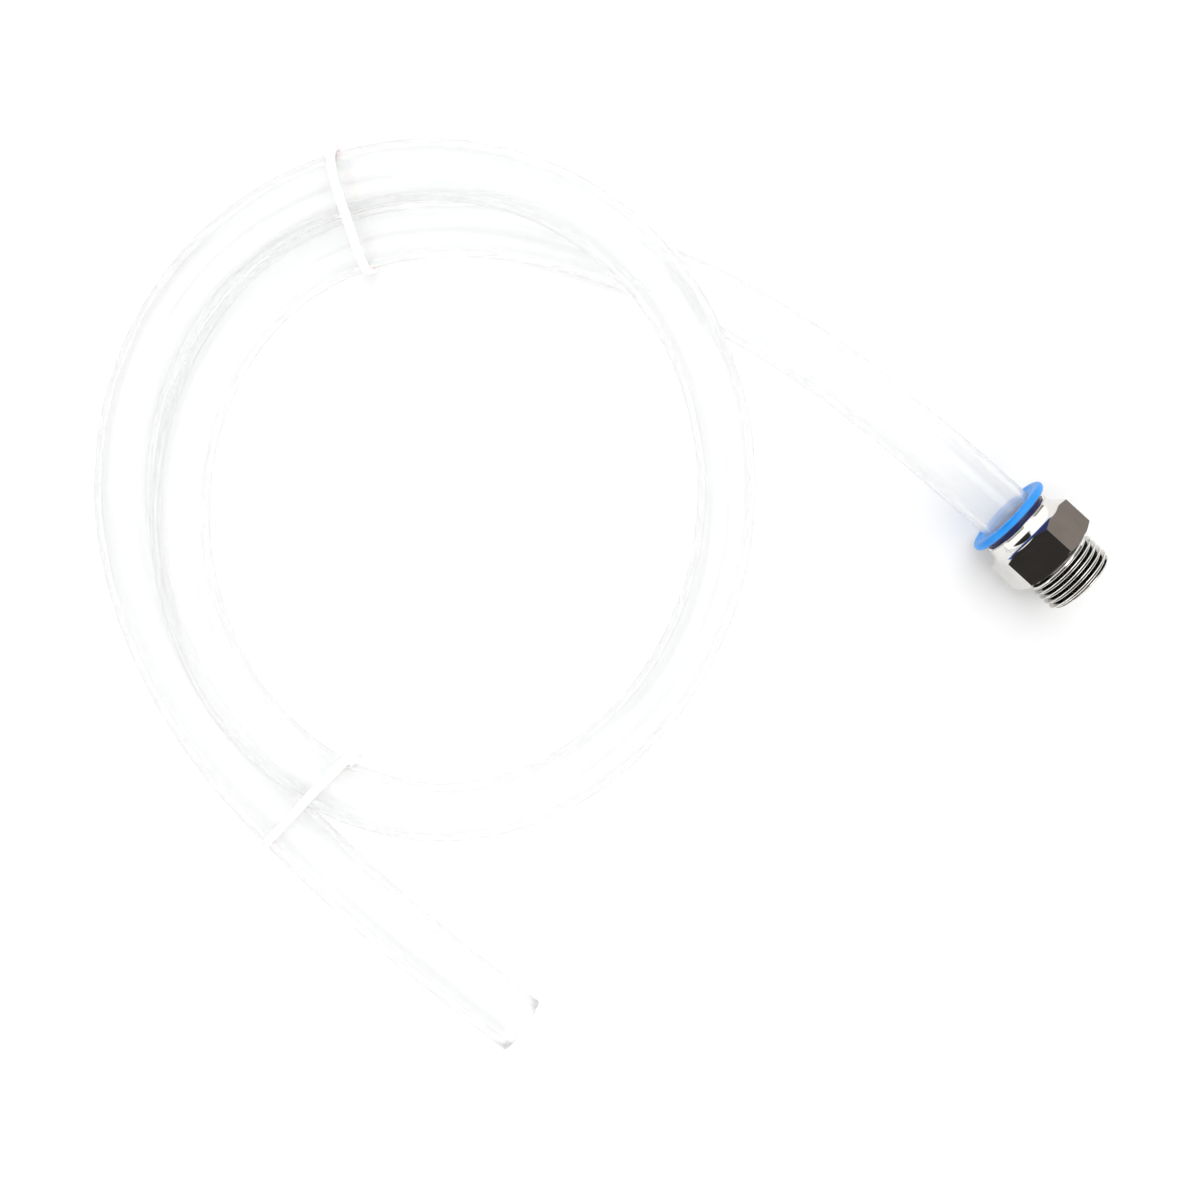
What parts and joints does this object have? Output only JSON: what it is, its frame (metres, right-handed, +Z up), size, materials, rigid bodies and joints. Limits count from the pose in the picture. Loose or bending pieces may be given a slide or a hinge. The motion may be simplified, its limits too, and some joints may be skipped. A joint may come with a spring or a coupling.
{
  "type": "clear hose with push-in threaded connector",
  "caption": "Length of clear flexible hose in a loose coil held by cable ties, with a push-in male threaded connector on one end and a plain cut end.",
  "frame": {"origin": "middle of the whole object's footprint on the surface it lies on", "axes": "+Z up from that surface, +X along the longest extent of the footprint, towards the connector"},
  "size_m": [0.2802, 0.254, 0.0335],
  "materials": {
    "clear_hose": "clear, glossy, slightly grey",
    "natural_nylon": "natural nylon, translucent",
    "nickel_plate": "bright nickel plating",
    "turned_brass": "turned",
    "spring_steel": "rolled",
    "white_acetal": "moulded",
    "black_rubber": "moulded rubber",
    "blue_acetal": "moulded"
  },
  "bodies": {
    "hose": {"hose_lead": "clear_hose", "hose_first_turn": "clear_hose", "hose_outer_turn": "clear_hose", "hose_tail": "clear_hose", "hose_end": "clear_hose", "upper_cable_tie": "natural_nylon", "lower_cable_tie": "natural_nylon"},
    "fitting": {"fitting_body": "nickel_plate", "collet_guide": "turned_brass", "grab_ring": "spring_steel", "seal_support_ring": "white_acetal", "tube_seal": "black_rubber", "port_seal": "black_rubber"},
    "release": {"release_ring": "blue_acetal"}
  },
  "joints": [
    {"name": "fitting_swivel", "type": "hinge", "parent": "hose", "child": "fitting", "pos_m": [0.11275, 0.02235, 0.0139], "axis": [0.7385, -0.6743, 0], "continuous": true},
    {"name": "release_ring_slide", "type": "slide", "parent": "fitting", "child": "release", "axis": [0.7385, -0.6743, 0], "range_m": [0, 0.001], "stiffness_N_per_m": 3000}
  ]
}
